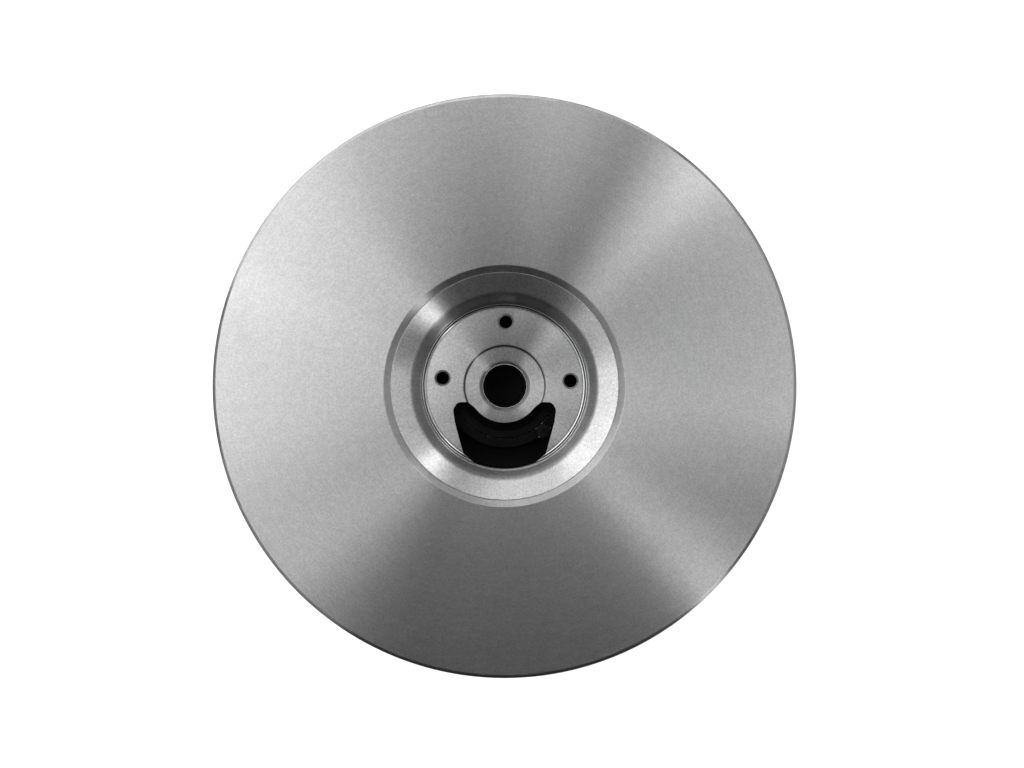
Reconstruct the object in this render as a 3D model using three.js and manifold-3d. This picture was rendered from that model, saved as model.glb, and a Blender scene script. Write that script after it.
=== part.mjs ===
// Hub-mounted brake disc for a motorcycle wheel, as an assembly of separate pieces.
// Millimetres, +Z up along the axle. The origin is on the axle, at the end face of the rear collar.
import * as THREE from "three";
import { mergeVertices } from "three/addons/utils/BufferGeometryUtils.js";
import Module from "manifold-3d";

const wasm = await Module();
wasm.setup();

// Driving dimensions

const BIG_SIDES = 48; // flats round the disc, carrier and plate
const SMALL_SIDES = 32; // flats round the bearing and axle pieces
const TAPPED_SIDES = 16; // flats round the three tapped holes in the plate
const HOLE_SIDES = 8; // flats round screws and their holes
const BALL_SIDES = 10;
const BALL_ROWS = 6;
const THROUGH = 1; // how far a cutter runs on past the face it opens
const SNUG = 0.1; // radial clearance between pieces that are fitted together

const DISC_RADIUS = 110;
const DISC_BORE_RADIUS = 43.1;
const DISC_THICKNESS = 5;
const RIM_CHAMFER = 1.2;
const LIP_RADIUS = 45.5;
const LIP_DEPTH = 1.9;
const LAND_RADIUS = 57; // the disc is thinner inside this, where it is screwed to the carrier
const LAND_STEP = 0.4;

const COLLAR_HEIGHT = 6.4;
const BEARING_WIDTH = 12;
const BEARING_RADIUS = 20;
const AXLE_RADIUS = 8.5;
const PLATE_THICKNESS = 5;
const RECESS_DEPTH = 11; // from the disc's face down to the web of the centre plate

const BEARING_BOTTOM = COLLAR_HEIGHT;
const BEARING_TOP = BEARING_BOTTOM + BEARING_WIDTH;
const BEARING_MIDDLE = BEARING_BOTTOM + BEARING_WIDTH / 2;
const PLATE_BOTTOM = BEARING_TOP + 2.1;
const WEB = PLATE_BOTTOM + PLATE_THICKNESS;
const FACE = WEB + RECESS_DEPTH;
const DISC_BACK = FACE - DISC_THICKNESS;
const DISC_LAND = DISC_BACK + LAND_STEP;
const SKIRT_BOTTOM = PLATE_BOTTOM - 2;

const PLATE_RADIUS = 31.4;
const PLATE_BORE_RADIUS = 9.65;
const REBATE_RADIUS = 29.85; // the web's edge; the snap ring lies in the rebate outside it
const REBATE_DEPTH = 0.6;
const SEAT_DEPTH = 1.2; // the washer seat round the bore is sunk this far in the web
const SEAT = WEB - SEAT_DEPTH;
// The wall of the washer seat, from the web down: radius and height above the seat.
const SEAT_WALL = [
  [15.5, SEAT_DEPTH],
  [15.05, 0.5],
  [14.7, 0.2],
  [14.1, 0],
];

const CARRIER_BORE_RADIUS = 31.5;
const CARRIER_LEDGE_RADIUS = 29;
const CARRIER_MOUTH_RADIUS = 31.55;
const CONE_TOP_RADIUS = 42.7;
const SKIRT_RADIUS = 41;
const SKIRT_FILLET = 1;
const FLANGE_RADIUS = 56;
const FLANGE_BOTTOM = DISC_BACK - 3.5;
// The foot of the dish, from the cone down: radius and height above the web.
const DISH_FOOT = [
  [35.5, 5.5],
  [34.6, 4.9],
  [33.9, 4.1],
  [32.15, 1.65],
  [CARRIER_MOUTH_RADIUS, 1.4],
];

const WINDOW_INNER_RADIUS = 13.9;
const WINDOW_OUTER_RADIUS = 31.5;
const WINDOW_ARC_STEPS = 14;
// The right side of the window from its outer arc to its inner one; the left side mirrors it.
const WINDOW_SIDE = [
  [12.0, -29.1],
  [15.5, -25.8],
  [15.9, -24.8],
  [18.95, -13.6],
  [19.35, -10.8],
  [19.2, -8.6],
  [18.3, -7.0],
  [16.6, -6.2],
  [14.3, -6.2],
  [13.1, -6.9],
  [11.9, -8.0],
  [10.92, -8.6],
];

const TAPPED_RADIUS = 2.4; // M5
const COUNTERSINK_RADIUS = 3.1;
// Distance of each tapped hole from the axle, and its angle.
const TAPPED_HOLES = [
  [24.3, 88.9],
  [23.7, 172.7],
  [25.05, 4.4],
];

const SNAP_RING_OUTER = 32.3;
const SNAP_RING_TOP = 1.25; // above the web
const SNAP_RING_LIFT = 0.05; // the ring's clearance in its groove
// The stepped bevel on the ring's inner edge, from its top down: radius and height above the web.
const SNAP_RING_BEVEL = [
  [31.5, SNAP_RING_TOP],
  [31.1, 0.95],
  [30.75, 0.8],
  [30.4, 0.28],
  [29.9, 0.05],
];
const SNAP_RING_GAP_DEGREES = 46;
const SNAP_GROOVE_RADIUS = 32.6;

const DISC_SCREW_COUNT = 8;
const DISC_SCREW_CIRCLE = 50;
const DISC_HOLE_DEPTH = 3.6;
const DISC_SCREW = { head: 4.6, headHeight: 2.8, shank: 2.9, length: 6.8, socket: 2, socketDepth: 1.6 };

const HOUSING_SCREW_COUNT = 6;
const HOUSING_SCREW_FIRST = 30;
const HOUSING_SCREW_CIRCLE = 37.4;
const HOUSING_HOLE_DEPTH = 7;
const HOUSING_SCREW = { head: 3.3, headHeight: 3.4, shank: 1.9, length: 10, socket: 1.6, socketDepth: 2 };

const RETAINING_ANGLES = [311, 71, 191];
const RETAINING_BOSS_CIRCLE = 22.3;
const RETAINING_BOSS_RADIUS = 3;
const RETAINING_SCREW_CIRCLE = 22.6;
const RETAINING_HOLE_DEPTH = 5;
const RETAINING_SCREW = {
  head: 2.8,
  headHeight: 1.7,
  shank: 1.4,
  length: 4.6,
  socket: 0.9,
  socketDepth: 0.9,
};
const SCREW_HEAD_CHAMFER = 0.4;

const BARREL_RADIUS = 23.5;
const HOUSING_LIP_RADIUS = 17.2;
const HOUSING_LIP = 1.5;
const HOUSING_WALL = 3.5;
const HOUSING_FLOOR_RADIUS = 33;
const HOUSING_DRAFT = 1;
const CHANNEL_FLOOR = BEARING_TOP - 6.4;
const HOUSING_FLANGE_BOTTOM = SKIRT_BOTTOM - 4;

const BALL_COUNT = 8;
const BALL_RADIUS = 3.3;
const PITCH_RADIUS = 14.25;
const RACE_ARC_RADIUS = 3.5;
const RACE_GAP = 0.15;
const CAGE_INNER = 13.1;
const CAGE_OUTER = 15.4;
const CAGE_HALF_WIDTH = 4.4;
const CAGE_POCKET_RADIUS = 3.5;
const CAGE_POCKET_LENGTH = 8;
const SHOULDER_OUTER = 16.3;
const SHOULDER_INNER = 12.2;
const RACE_STEPS = 6;
const RING_CHAMFER = 0.5;
const RING_CLEARANCE = 0.05;
const SEAL_INNER_RADIUS = 12.5;
const SEAL_OUTER_RADIUS = 16.9;
const SEAL_SEAT_RADIUS = 17;
const SEAL_SEAT_DEPTH = 1.2;
const SEAL_THICKNESS = 0.9;
const SEAL_INSET = 0.15;

const SPIGOT_RADIUS = 11.5;
const COLLAR_RADIUS = 16;
const COLLAR_FLANGE = 2.4;
const COLLAR_CHAMFER = 0.5;
const SLEEVE_RADIUS = 9.55;
const SLEEVE_FOOT = 1.5;
const SLEEVE_TOP = SEAT - 0.05;
const SLEEVE_RIM = 0.1;
const SLEEVE_BEVEL = 1;

const PLUG_RADIUS = AXLE_RADIUS - SNUG;
const PLUG_BOTTOM = 0.4;
const PLUG_BASE = 1.6;
const PLUG_CHAMFER = 0.6;
const PLUG_TOP = COLLAR_HEIGHT - 1;
const PLUG_WALL = 1.2;

const COVER_RADIUS = 26.6;
const COVER_SHEET = 1;
const COVER_FLOOR = 1.2;
const COVER_TOP = 7.2;
const COVER_RIVET_ANGLES = [60, 180, 300];
const COVER_RIVET_CIRCLE = 13.7;
const COVER_RIVET_RADIUS = 1;
const COVER_RIVET_BOTTOM = 0.3;
// Radius and height of the rivet's round head above the cover's floor.
const COVER_RIVET_HEAD = [
  [1.8, 0],
  [1.4, 0.7],
  [0, 0.8],
];

// The dust seal's section: radius and height.
const DUST_SEAL_SECTION = [
  [12.4, 5.0],
  [17.1, 5.0],
  [17.1, 6.2],
  [14.6, 6.2],
  [13.6, 5.8],
  [11.9, 6.0],
];

// Materials

const FINISHES = {
  turned_steel: { color: 0xb4b4b4, roughness: 0.36, metalness: 1 },
  black_paint: { color: 0x0c0c0d, roughness: 0.6, metalness: 0 },
  bearing_steel: { color: 0x55575a, roughness: 0.25, metalness: 1 },
  black_oxide: { color: 0x1c1d1f, roughness: 0.45, metalness: 0.8 },
  seal_rubber: { color: 0x0a0a0a, roughness: 0.8, metalness: 0 },
  zinc: { color: 0x9fa3a8, roughness: 0.35, metalness: 1 },
  spring_steel: { color: 0xa4a6a8, roughness: 0.3, metalness: 1 },
};

// Solids

const radians = (degrees) => (degrees * Math.PI) / 180;

function solidOf(geometry) {
  const bare = geometry.clone();
  bare.deleteAttribute("normal");
  bare.deleteAttribute("uv");
  const merged = mergeVertices(bare, 1e-4);
  return new wasm.Manifold(
    new wasm.Mesh({
      numProp: 3,
      vertProperties: merged.attributes.position.array,
      triVerts: new Uint32Array(merged.index.array),
    }),
  );
}

function geometryOf(solid) {
  const mesh = solid.getMesh();
  const geometry = new THREE.BufferGeometry();
  geometry.setAttribute("position", new THREE.BufferAttribute(mesh.vertProperties, 3));
  geometry.setIndex(new THREE.BufferAttribute(mesh.triVerts, 1));
  return geometry;
}

// A turned ring: its section is a closed loop of [radius, z] points, anticlockwise seen with z up.
function turned(section, sides) {
  const points = [...section, section[0]].map(([radius, z]) => new THREE.Vector2(radius, z));
  return solidOf(new THREE.LatheGeometry(points, sides).rotateX(Math.PI / 2));
}

// A turned piece that is solid to its axis: the section starts and ends on the axis.
function turnedSolid(section, sides, x = 0, y = 0) {
  const points = section.map(([radius, z]) => new THREE.Vector2(radius, z));
  const geometry = new THREE.LatheGeometry(points, sides).rotateX(Math.PI / 2);
  return solidOf(geometry.translate(x, y, 0));
}

function pin(radius, bottom, top, x, y, sides = HOLE_SIDES) {
  return turnedSolid([[0, bottom], [radius, bottom], [radius, top], [0, top]], sides, x, y);
}

function onCircle(radius, degrees) {
  return [radius * Math.cos(radians(degrees)), radius * Math.sin(radians(degrees))];
}

function evenAngles(count, first = 0) {
  return Array.from({ length: count }, (_, i) => first + (i * 360) / count);
}

function joined(solids) {
  return solids.reduce((whole, solid) => whole.add(solid));
}

function cutBy(solid, cutters) {
  return cutters.reduce((whole, cutter) => whole.subtract(cutter), solid);
}

const assembly = new THREE.Group();

function addPiece(name, solid, finish) {
  const mesh = new THREE.Mesh(geometryOf(solid), new THREE.MeshStandardMaterial(FINISHES[finish]));
  mesh.name = name;
  assembly.add(mesh);
}

// One node for each of several like pieces, named name_1, name_2 and so on.
function addPieces(name, angles, makePiece, finish) {
  angles.forEach((angle, i) => addPiece(`${name}_${i + 1}`, makePiece(angle), finish));
}

// Friction disc: a flat steel ring, chamfered at its rim and at the lip round the dish.

function frictionDisc() {
  const rim = DISC_RADIUS - RIM_CHAMFER;
  const section = [
    [DISC_BORE_RADIUS, DISC_LAND],
    [LAND_RADIUS, DISC_LAND],
    [LAND_RADIUS, DISC_BACK],
    [rim, DISC_BACK],
    [DISC_RADIUS, DISC_BACK + RIM_CHAMFER],
    [DISC_RADIUS, FACE - RIM_CHAMFER],
    [rim, FACE],
    [LIP_RADIUS, FACE],
    [DISC_BORE_RADIUS, FACE - LIP_DEPTH],
  ];
  const blindHoles = evenAngles(DISC_SCREW_COUNT).map((angle) => {
    const [x, y] = onCircle(DISC_SCREW_CIRCLE, angle);
    return pin(DISC_SCREW.shank + SNUG, DISC_LAND - THROUGH, DISC_BACK + DISC_HOLE_DEPTH, x, y);
  });
  return cutBy(turned(section, BIG_SIDES), blindHoles);
}

// Disc carrier: the dish that drops from the disc to the centre plate, with its skirt and flange.

function discCarrier() {
  const snapGrooveTop = WEB + SNAP_RING_TOP + SNAP_RING_LIFT;
  const top = FACE - LIP_DEPTH;
  const section = [
    [CARRIER_LEDGE_RADIUS, SKIRT_BOTTOM],
    [SKIRT_RADIUS, SKIRT_BOTTOM],
    [SKIRT_RADIUS, FLANGE_BOTTOM - SKIRT_FILLET],
    [SKIRT_RADIUS + SKIRT_FILLET, FLANGE_BOTTOM],
    [FLANGE_RADIUS, FLANGE_BOTTOM],
    [FLANGE_RADIUS, DISC_LAND],
    [DISC_BORE_RADIUS - SNUG, DISC_LAND],
    [DISC_BORE_RADIUS - SNUG, top - SNUG],
    [CONE_TOP_RADIUS, top - 2 * SNUG],
    ...DISH_FOOT.map(([radius, height]) => [radius, WEB + height]),
    [CARRIER_MOUTH_RADIUS, snapGrooveTop],
    [SNAP_GROOVE_RADIUS, snapGrooveTop],
    [SNAP_GROOVE_RADIUS, WEB - REBATE_DEPTH],
    [CARRIER_BORE_RADIUS, WEB - REBATE_DEPTH],
    [CARRIER_BORE_RADIUS, PLATE_BOTTOM],
    [CARRIER_LEDGE_RADIUS, PLATE_BOTTOM],
  ];
  const screwHoles = evenAngles(DISC_SCREW_COUNT).map((angle) => {
    const [x, y] = onCircle(DISC_SCREW_CIRCLE, angle);
    return pin(DISC_SCREW.shank + 2 * SNUG, FLANGE_BOTTOM - THROUGH, DISC_LAND + THROUGH, x, y);
  });
  const tappedHoles = evenAngles(HOUSING_SCREW_COUNT, HOUSING_SCREW_FIRST).map((angle) => {
    const [x, y] = onCircle(HOUSING_SCREW_CIRCLE, angle);
    const holeTop = SKIRT_BOTTOM + HOUSING_HOLE_DEPTH;
    return pin(HOUSING_SCREW.shank + SNUG, SKIRT_BOTTOM - THROUGH, holeTop, x, y);
  });
  return cutBy(turned(section, BIG_SIDES), [...screwHoles, ...tappedHoles, windowCutter()]);
}

// Window: one opening milled through the plate and the carrier's ledge. Its inner side follows the
// washer seat, with a rounded lobe at each end, and its outer side follows the carrier's bore.

function windowOutline() {
  const left = WINDOW_SIDE.map(([x, y]) => [-x, y]).reverse();
  const [outerX, outerY] = WINDOW_SIDE[0];
  const [innerX, innerY] = WINDOW_SIDE.at(-1);
  const outerAngle = Math.atan2(outerY, outerX);
  const innerAngle = Math.atan2(innerY, innerX);
  const shape = new THREE.Shape();
  shape.absarc(0, 0, WINDOW_OUTER_RADIUS, -Math.PI - outerAngle, outerAngle, false);
  WINDOW_SIDE.slice(0, -1).forEach(([x, y]) => shape.lineTo(x, y));
  shape.absarc(0, 0, WINDOW_INNER_RADIUS, innerAngle, -Math.PI - innerAngle, true);
  left.slice(1).forEach(([x, y]) => shape.lineTo(x, y));
  return shape;
}

function windowCutter() {
  const bottom = SKIRT_BOTTOM - THROUGH;
  const depth = WEB + SNAP_RING_TOP + THROUGH - bottom;
  const settings = { depth, bevelEnabled: false, curveSegments: WINDOW_ARC_STEPS };
  const geometry = new THREE.ExtrudeGeometry(windowOutline(), settings);
  return solidOf(geometry.translate(0, 0, bottom));
}

// Centre plate: the web with its bore and sunk washer seat, window and three tapped holes.

function centrePlate() {
  const section = [
    [PLATE_BORE_RADIUS, PLATE_BOTTOM],
    [PLATE_RADIUS, PLATE_BOTTOM],
    [PLATE_RADIUS, WEB - REBATE_DEPTH],
    [REBATE_RADIUS, WEB - REBATE_DEPTH],
    [REBATE_RADIUS, WEB],
    ...SEAT_WALL.map(([radius, height]) => [radius, SEAT + height]),
    [PLATE_BORE_RADIUS, SEAT],
  ];
  const sink = COUNTERSINK_RADIUS - TAPPED_RADIUS;
  const drill = [
    [0, PLATE_BOTTOM - THROUGH],
    [TAPPED_RADIUS, PLATE_BOTTOM - THROUGH],
    [TAPPED_RADIUS, WEB - sink],
    [COUNTERSINK_RADIUS + THROUGH, WEB + THROUGH],
    [0, WEB + THROUGH],
  ];
  const holes = TAPPED_HOLES.map((place) => turnedSolid(drill, TAPPED_SIDES, ...onCircle(...place)));
  return cutBy(turned(section, BIG_SIDES), [...holes, windowCutter()]);
}

// Snap ring: sprung into the carrier's groove over the rim of the plate, its gap at the window.

function plateSnapRing() {
  const bottom = WEB - REBATE_DEPTH + SNAP_RING_LIFT;
  const [innerRadius] = SNAP_RING_BEVEL.at(-1);
  const section = [
    [innerRadius, bottom],
    [SNAP_RING_OUTER, bottom],
    [SNAP_RING_OUTER, WEB + SNAP_RING_TOP],
    ...SNAP_RING_BEVEL.map(([radius, height]) => [radius, WEB + height]),
  ];
  const halfGap = radians(SNAP_RING_GAP_DEGREES / 2);
  const reach = 2 * SNAP_RING_OUTER;
  const wedge = new THREE.Shape([
    new THREE.Vector2(0, 0),
    new THREE.Vector2(-reach * Math.sin(halfGap), -reach * Math.cos(halfGap)),
    new THREE.Vector2(reach * Math.sin(halfGap), -reach * Math.cos(halfGap)),
  ]);
  const gapBottom = WEB - REBATE_DEPTH - THROUGH;
  const depth = WEB + SNAP_RING_TOP + THROUGH - gapBottom;
  const gap = new THREE.ExtrudeGeometry(wedge, { depth, bevelEnabled: false });
  return cutBy(turned(section, BIG_SIDES), [solidOf(gap.translate(0, 0, gapBottom)), windowCutter()]);
}

// Bearing housing: a black cast cup behind the plate, with the bearing's seat in its barrel.

function bearingHousing() {
  const section = [
    [HOUSING_LIP_RADIUS, BEARING_BOTTOM - HOUSING_LIP],
    [BARREL_RADIUS, BEARING_BOTTOM - HOUSING_LIP],
    [BARREL_RADIUS + HOUSING_DRAFT / 2, CHANNEL_FLOOR - HOUSING_WALL],
    [HOUSING_FLOOR_RADIUS, CHANNEL_FLOOR - HOUSING_WALL],
    [HOUSING_FLOOR_RADIUS + HOUSING_DRAFT, HOUSING_FLANGE_BOTTOM],
    [SKIRT_RADIUS, HOUSING_FLANGE_BOTTOM],
    [SKIRT_RADIUS, SKIRT_BOTTOM],
    [CARRIER_BORE_RADIUS, SKIRT_BOTTOM],
    [CARRIER_BORE_RADIUS, CHANNEL_FLOOR],
    [BARREL_RADIUS, CHANNEL_FLOOR],
    [BARREL_RADIUS, BEARING_TOP],
    [BEARING_RADIUS, BEARING_TOP],
    [BEARING_RADIUS, BEARING_BOTTOM],
    [HOUSING_LIP_RADIUS, BEARING_BOTTOM],
  ];
  const bosses = RETAINING_ANGLES.map((angle) => {
    const [x, y] = onCircle(RETAINING_BOSS_CIRCLE, angle);
    return pin(RETAINING_BOSS_RADIUS, CHANNEL_FLOOR - THROUGH / 2, BEARING_TOP, x, y);
  });
  const seat = pin(BEARING_RADIUS, BEARING_BOTTOM, BEARING_TOP + THROUGH, 0, 0, SMALL_SIDES);
  const retainingHoles = RETAINING_ANGLES.map((angle) => {
    const [x, y] = onCircle(RETAINING_SCREW_CIRCLE, angle);
    const bottom = BEARING_TOP - RETAINING_HOLE_DEPTH;
    return pin(RETAINING_SCREW.shank + SNUG, bottom, BEARING_TOP + THROUGH, x, y);
  });
  const screwHoles = evenAngles(HOUSING_SCREW_COUNT, HOUSING_SCREW_FIRST).map((angle) => {
    const [x, y] = onCircle(HOUSING_SCREW_CIRCLE, angle);
    const radius = HOUSING_SCREW.shank + 2 * SNUG;
    return pin(radius, HOUSING_FLANGE_BOTTOM - THROUGH, SKIRT_BOTTOM + THROUGH, x, y);
  });
  const cast = joined([turned(section, SMALL_SIDES), ...bosses]);
  return cutBy(cast, [seat, ...retainingHoles, ...screwHoles]);
}

// A screw with a round head and a socket. It stands on its seat, its head pointing up (facing is 1)
// or down (facing is -1), and its shank runs the other way.

function screw(size, circle, angle, seat, facing) {
  const outer = seat + facing * size.headHeight;
  const end = seat - facing * size.length;
  const socketFloor = outer - facing * size.socketDepth;
  const section = [
    [0, end],
    [size.shank, end],
    [size.shank, seat],
    [size.head, seat],
    [size.head, outer - facing * SCREW_HEAD_CHAMFER],
    [size.head - SCREW_HEAD_CHAMFER, outer],
    [size.socket, outer],
    [size.socket, socketFloor],
    [0, socketFloor],
  ];
  const ordered = facing > 0 ? section : section.reverse();
  return turnedSolid(ordered, HOLE_SIDES, ...onCircle(circle, angle));
}

const discScrew = (angle) => screw(DISC_SCREW, DISC_SCREW_CIRCLE, angle, FLANGE_BOTTOM, -1);
const housingScrew = (angle) =>
  screw(HOUSING_SCREW, HOUSING_SCREW_CIRCLE, angle, HOUSING_FLANGE_BOTTOM, -1);
const retainingScrew = (angle) =>
  screw(RETAINING_SCREW, RETAINING_SCREW_CIRCLE, angle, BEARING_TOP, 1);

// Ball bearing, 17 x 40 x 12: two races, eight balls in a moulded cage, a rubber seal on each side.

// The ball groove as points from its lower edge to its upper one; side is +1 for the outer race.
function raceGroove(side) {
  const bottom = PITCH_RADIUS + side * (BALL_RADIUS + RACE_GAP);
  const centre = bottom - side * RACE_ARC_RADIUS;
  const shoulder = side > 0 ? SHOULDER_OUTER : SHOULDER_INNER;
  const halfAngle = Math.acos(Math.abs(shoulder - centre) / RACE_ARC_RADIUS);
  return Array.from({ length: RACE_STEPS + 1 }, (_, i) => {
    const angle = -halfAngle + (2 * halfAngle * i) / RACE_STEPS;
    const radius = centre + side * RACE_ARC_RADIUS * Math.cos(angle);
    return [radius, BEARING_MIDDLE + RACE_ARC_RADIUS * Math.sin(angle)];
  });
}

function bearingOuterRing() {
  const outside = BEARING_RADIUS - RING_CLEARANCE;
  const section = [
    [SEAL_SEAT_RADIUS, BEARING_BOTTOM],
    [outside - RING_CHAMFER, BEARING_BOTTOM],
    [outside, BEARING_BOTTOM + RING_CHAMFER],
    [outside, BEARING_TOP - RING_CHAMFER],
    [outside - RING_CHAMFER, BEARING_TOP],
    [SEAL_SEAT_RADIUS, BEARING_TOP],
    [SEAL_SEAT_RADIUS, BEARING_TOP - SEAL_SEAT_DEPTH],
    [SHOULDER_OUTER, BEARING_TOP - SEAL_SEAT_DEPTH],
    ...raceGroove(1).reverse(),
    [SHOULDER_OUTER, BEARING_BOTTOM + SEAL_SEAT_DEPTH],
    [SEAL_SEAT_RADIUS, BEARING_BOTTOM + SEAL_SEAT_DEPTH],
  ];
  return turned(section, SMALL_SIDES);
}

function bearingInnerRing() {
  const section = [
    [AXLE_RADIUS, BEARING_BOTTOM],
    [SHOULDER_INNER, BEARING_BOTTOM],
    ...raceGroove(-1),
    [SHOULDER_INNER, BEARING_TOP],
    [AXLE_RADIUS, BEARING_TOP],
  ];
  return turned(section, SMALL_SIDES);
}

function bearingSeal(facing) {
  const outerFace = facing > 0 ? BEARING_TOP - SEAL_INSET : BEARING_BOTTOM + SEAL_INSET;
  const innerFace = outerFace - facing * SEAL_THICKNESS;
  const [low, high] = [Math.min(outerFace, innerFace), Math.max(outerFace, innerFace)];
  const section = [
    [SEAL_INNER_RADIUS, low],
    [SEAL_OUTER_RADIUS, low],
    [SEAL_OUTER_RADIUS, high],
    [SEAL_INNER_RADIUS, high],
  ];
  return turned(section, SMALL_SIDES);
}

function bearingCage() {
  const low = BEARING_MIDDLE - CAGE_HALF_WIDTH;
  const high = BEARING_MIDDLE + CAGE_HALF_WIDTH;
  const section = [
    [CAGE_INNER, low],
    [CAGE_OUTER, low],
    [CAGE_OUTER, high],
    [CAGE_INNER, high],
  ];
  const pockets = evenAngles(BALL_COUNT).map((angle) => {
    const size = [CAGE_POCKET_RADIUS, CAGE_POCKET_RADIUS, CAGE_POCKET_LENGTH, HOLE_SIDES];
    const pocket = new THREE.CylinderGeometry(...size).rotateZ(Math.PI / 2);
    pocket.translate(PITCH_RADIUS, 0, BEARING_MIDDLE);
    return solidOf(pocket.rotateZ(radians(angle)));
  });
  return cutBy(turned(section, SMALL_SIDES), pockets);
}

function bearingBall(angle) {
  const [x, y] = onCircle(PITCH_RADIUS, angle);
  const ball = new THREE.SphereGeometry(BALL_RADIUS, BALL_SIDES, BALL_ROWS).rotateX(Math.PI / 2);
  return solidOf(ball.translate(x, y, BEARING_MIDDLE));
}

// Dust seal: a rubber ring in the housing's rear lip, its lip close round the collar.

const dustSeal = () => turned(DUST_SEAL_SECTION, SMALL_SIDES);

// Axle side: sleeve, collar and dust cover are clamped on the axle and stand still.

function frontAxleSleeve() {
  const section = [
    [AXLE_RADIUS, BEARING_TOP],
    [SPIGOT_RADIUS, BEARING_TOP],
    [SPIGOT_RADIUS, BEARING_TOP + SLEEVE_FOOT],
    [SLEEVE_RADIUS, BEARING_TOP + SLEEVE_FOOT],
    [SLEEVE_RADIUS, SLEEVE_TOP],
    [SLEEVE_RADIUS - SLEEVE_RIM, SLEEVE_TOP],
    [AXLE_RADIUS, SLEEVE_TOP - SLEEVE_BEVEL],
  ];
  return turned(section, SMALL_SIDES);
}

function rearAxleCollar() {
  const section = [
    [AXLE_RADIUS, 0],
    [COLLAR_RADIUS - COLLAR_CHAMFER, 0],
    [COLLAR_RADIUS, COLLAR_CHAMFER],
    [COLLAR_RADIUS, COLLAR_FLANGE],
    [SPIGOT_RADIUS, COLLAR_FLANGE],
    [SPIGOT_RADIUS, COLLAR_HEIGHT],
    [AXLE_RADIUS, COLLAR_HEIGHT],
  ];
  const rivetHoles = COVER_RIVET_ANGLES.map((angle) => {
    const [x, y] = onCircle(COVER_RIVET_CIRCLE, angle);
    return pin(COVER_RIVET_RADIUS + SNUG, -THROUGH, COLLAR_FLANGE + THROUGH, x, y);
  });
  return cutBy(turned(section, SMALL_SIDES), rivetHoles);
}

// A soft plastic cup pressed into the back of the axle bore, which keeps dirt out until it is fitted.
function boreDustPlug() {
  const floor = PLUG_BOTTOM + PLUG_BASE;
  const section = [
    [0, PLUG_BOTTOM],
    [PLUG_RADIUS - PLUG_CHAMFER, PLUG_BOTTOM],
    [PLUG_RADIUS, PLUG_BOTTOM + PLUG_CHAMFER],
    [PLUG_RADIUS, PLUG_TOP],
    [PLUG_RADIUS - PLUG_WALL, PLUG_TOP],
    [PLUG_RADIUS - PLUG_WALL, floor],
    [0, floor],
  ];
  return turnedSolid(section, SMALL_SIDES);
}

function rearDustCover() {
  const inside = SPIGOT_RADIUS + SNUG;
  const floor = COLLAR_FLANGE + COVER_FLOOR;
  const section = [
    [inside, COLLAR_FLANGE],
    [COVER_RADIUS - COVER_SHEET, COLLAR_FLANGE],
    [COVER_RADIUS, COLLAR_FLANGE + COVER_SHEET],
    [COVER_RADIUS, COVER_TOP],
    [COVER_RADIUS - COVER_SHEET, COVER_TOP],
    [COVER_RADIUS - COVER_SHEET, floor],
    [inside, floor],
  ];
  const rivetHoles = COVER_RIVET_ANGLES.map((angle) => {
    const [x, y] = onCircle(COVER_RIVET_CIRCLE, angle);
    return pin(COVER_RIVET_RADIUS + SNUG, COLLAR_FLANGE - THROUGH, floor + THROUGH, x, y);
  });
  return cutBy(turned(section, SMALL_SIDES), rivetHoles);
}

function dustCoverRivet(angle) {
  const seat = COLLAR_FLANGE + COVER_FLOOR;
  const section = [
    [0, COVER_RIVET_BOTTOM],
    [COVER_RIVET_RADIUS, COVER_RIVET_BOTTOM],
    [COVER_RIVET_RADIUS, seat],
    ...COVER_RIVET_HEAD.map(([radius, height]) => [radius, seat + height]),
  ];
  return turnedSolid(section, HOLE_SIDES, ...onCircle(COVER_RIVET_CIRCLE, angle));
}

// The assembly, from the friction disc inwards and back

addPiece("friction_disc", frictionDisc(), "turned_steel");
addPiece("disc_carrier", discCarrier(), "turned_steel");
addPieces("disc_screw", evenAngles(DISC_SCREW_COUNT), discScrew, "zinc");
addPiece("centre_plate", centrePlate(), "turned_steel");
addPiece("plate_snap_ring", plateSnapRing(), "spring_steel");
addPiece("bearing_housing", bearingHousing(), "black_paint");
const housingScrewAngles = evenAngles(HOUSING_SCREW_COUNT, HOUSING_SCREW_FIRST);
addPieces("housing_screw", housingScrewAngles, housingScrew, "zinc");
addPiece("bearing_outer_ring", bearingOuterRing(), "bearing_steel");
addPieces("bearing_retaining_screw", RETAINING_ANGLES, retainingScrew, "black_oxide");
addPiece("bearing_seal_front", bearingSeal(1), "seal_rubber");
addPiece("bearing_seal_rear", bearingSeal(-1), "seal_rubber");
addPiece("dust_seal", dustSeal(), "seal_rubber");
addPiece("bearing_cage", bearingCage(), "seal_rubber");
addPieces("bearing_ball", evenAngles(BALL_COUNT), bearingBall, "bearing_steel");
addPiece("bearing_inner_ring", bearingInnerRing(), "bearing_steel");
addPiece("front_axle_sleeve", frontAxleSleeve(), "zinc");
addPiece("rear_axle_collar", rearAxleCollar(), "zinc");
addPiece("bore_dust_plug", boreDustPlug(), "seal_rubber");
addPiece("rear_dust_cover", rearDustCover(), "black_paint");
addPieces("dust_cover_rivet", COVER_RIVET_ANGLES, dustCoverRivet, "zinc");

export default assembly;
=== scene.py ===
import math

import bmesh
import bpy
from mathutils import Matrix, Vector


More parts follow.
